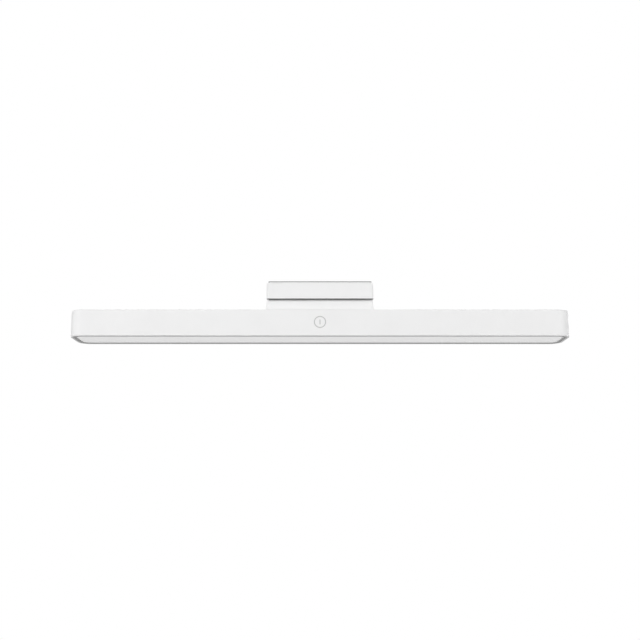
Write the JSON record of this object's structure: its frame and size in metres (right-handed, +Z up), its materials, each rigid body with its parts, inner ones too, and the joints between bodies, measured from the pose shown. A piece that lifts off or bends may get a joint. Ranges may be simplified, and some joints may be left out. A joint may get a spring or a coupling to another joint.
{
  "type": "magnetic light bar",
  "caption": "Slim white light bar that hangs from a magnetic block at its top centre and tilts on a friction hinge.",
  "frame": {"origin": "centre of the adhesive face on top of the mount plate", "axes": "+X along the bar, -Y towards the front with the touch mark, +Z up, out of the adhesive face"},
  "size_m": [0.35, 0.0364, 0.0404],
  "materials": {
    "foam_tape": "matt foam tape",
    "keeper_steel": "white powder coat",
    "white_shell": "fine matt texture",
    "grey_bezel": "fine matt texture",
    "magnet": "nickel plated",
    "cover_plastic": "moulded",
    "bracket_steel": "stamped",
    "washer_nylon": "satin",
    "pin_steel": "ground",
    "screw_steel": "plated",
    "cast_zinc": "as cast",
    "sleeve_brass": "satin",
    "grey_inlay": "satin",
    "frosted_window": "frosted",
    "reflector": "diffuse white",
    "board_metal": "white solder mask",
    "led_body": "white package with a yellow phosphor well",
    "chassis_metal": "mill finish",
    "cell_foil": "laminated foil",
    "foam_pad": "foam",
    "circuit_board": "solder mask",
    "chip": "moulded",
    "connector_body": "moulded",
    "lead_cover": "insulated wire",
    "socket_steel": "formed",
    "light_pipe": "clear",
    "flex_circuit": "film"
  },
  "bodies": {
    "plate": {"adhesive_pad": "foam_tape", "steel_plate": "keeper_steel"},
    "head": {"head_housing": "white_shell", "head_magnets": "magnet", "cradle_cover": "cover_plastic", "hinge_bracket": "bracket_steel", "hinge_pins": "pin_steel", "head_screws": "screw_steel"},
    "lamp": {"hinge_carrier": "cast_zinc", "friction_sleeves": "sleeve_brass", "friction_washers": "washer_nylon", "carrier_screws": "screw_steel", "lamp_housing": "white_shell", "touch_mark": "grey_inlay", "bottom_bezel": "grey_bezel", "diffuser": "frosted_window", "reflector_tray": "reflector", "led_board": "board_metal", "leds": "led_body", "chassis_plate": "chassis_metal", "chassis_screws": "screw_steel", "led_board_screws": "screw_steel", "left_battery": "cell_foil", "right_battery": "cell_foil", "battery_pads": "foam_pad", "main_board": "circuit_board", "board_parts": "chip", "board_screws": "screw_steel", "board_connectors": "connector_body", "left_battery_lead": "lead_cover", "right_battery_lead": "lead_cover", "led_lead": "lead_cover", "charging_socket": "socket_steel", "socket_tongue": "chip", "status_light_pipe": "light_pipe", "touch_electrode": "flex_circuit"}
  },
  "joints": [
    {"name": "magnet_release", "type": "slide", "parent": "plate", "child": "head", "axis": [0, 0, -1], "range_m": [0, 0.03]},
    {"name": "lamp_tilt", "type": "hinge", "parent": "head", "child": "lamp", "pos_m": [0, 0, -0.0184], "axis": [1, 0, 0], "range_deg": [-30, 30]}
  ]
}
